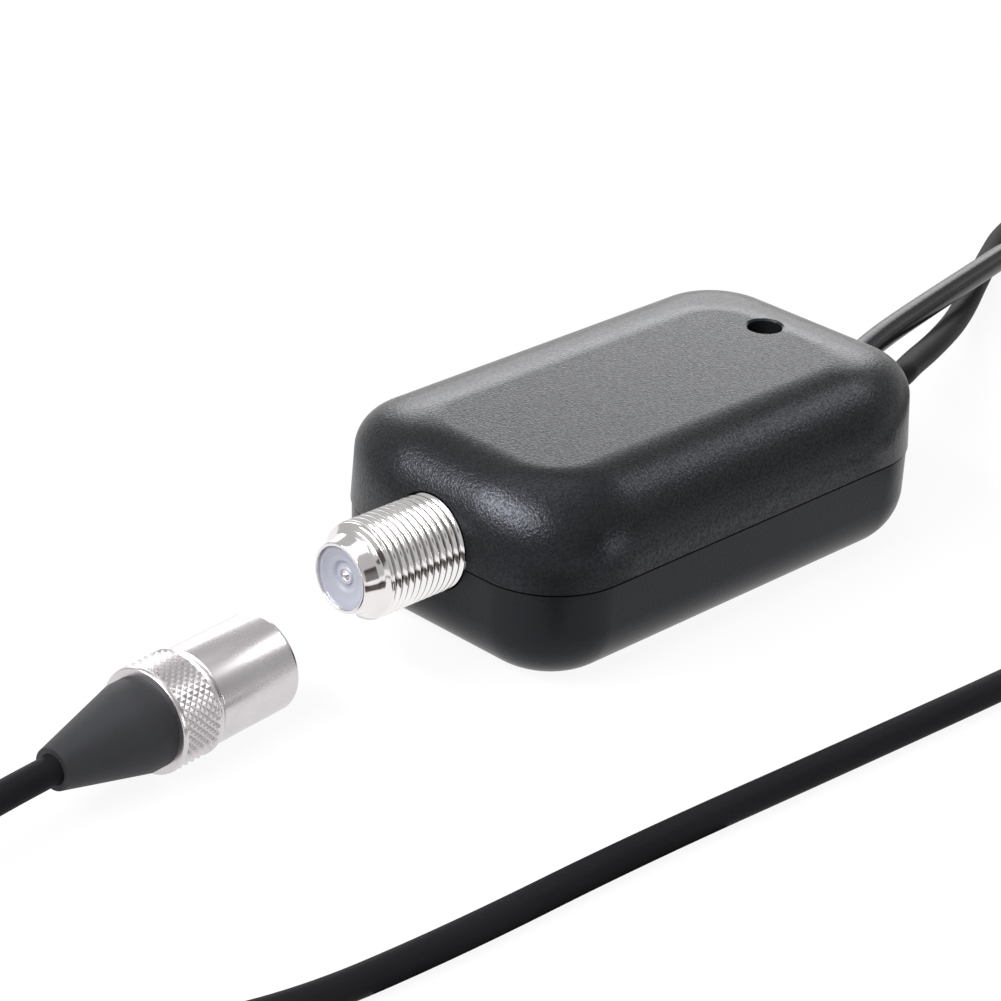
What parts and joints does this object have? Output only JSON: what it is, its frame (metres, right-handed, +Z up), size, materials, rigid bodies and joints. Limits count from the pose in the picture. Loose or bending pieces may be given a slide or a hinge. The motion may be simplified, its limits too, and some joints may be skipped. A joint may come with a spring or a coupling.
{
  "type": "in-line television aerial signal amplifier",
  "caption": "Small black in-line television aerial amplifier with a threaded aerial socket, a lead with an aerial plug and a power lead with a flat power plug.",
  "frame": {"origin": "centre of the flat underside of the case", "axes": "+Z up, -X towards the threaded socket, +X towards the leads"},
  "size_m": [0.2231, 0.0752, 0.0194],
  "materials": {
    "case_plastic": "fine leather grain",
    "nickel": "polished nickel plate",
    "socket_white": "slightly translucent",
    "gold_contact": "plated",
    "tinned": "tinned",
    "board_green": "solder mask",
    "epoxy_black": "moulded epoxy",
    "ferrite": "sintered",
    "copper": "enamelled copper",
    "can_aluminium": "satin",
    "ceramic_tan": "fired ceramic",
    "lamp_lens": "clear tinted",
    "lead_jacket": "satin",
    "grommet_black": "satin",
    "dielectric_white": "foamed",
    "wire_red": "satin",
    "wire_black": "satin",
    "tie_black": "satin",
    "grip_black": "satin",
    "flat_steel": "bright",
    "flat_white": "smooth"
  },
  "bodies": {
    "root": {"lower_case": "case_plastic", "upper_case": "case_plastic", "f_socket_body": "nickel", "f_socket_insulator": "socket_white", "f_socket_contact": "gold_contact", "circuit_board": "board_green", "amplifier_chip": "epoxy_black", "choke_cores": "ferrite", "choke_windings": "copper", "electrolytic_capacitor": "can_aluminium", "chip_capacitors": "ceramic_tan", "chip_resistors": "epoxy_black", "power_lamp": "lamp_lens", "lamp_legs": "tinned", "coax_grommet": "grommet_black", "power_grommet": "grommet_black", "coax_inner_end": "lead_jacket", "power_inner_end": "lead_jacket", "coax_dielectric": "dielectric_white", "coax_core": "copper", "coax_braid": "tinned", "positive_wire": "wire_red", "negative_wire": "wire_black", "plug_shell": "nickel", "plug_insulator": "socket_white", "plug_pin": "nickel", "plug_boot": "grommet_black", "coax_plug_end": "lead_jacket", "coax_lead": "lead_jacket", "power_lead": "lead_jacket", "power_lead_coil": "lead_jacket", "power_lead_tail": "lead_jacket", "cable_tie": "tie_black", "flat_grip": "grip_black", "flat_shell": "flat_steel", "flat_tongue": "flat_white", "flat_contacts": "gold_contact"}
  },
  "joints": []
}
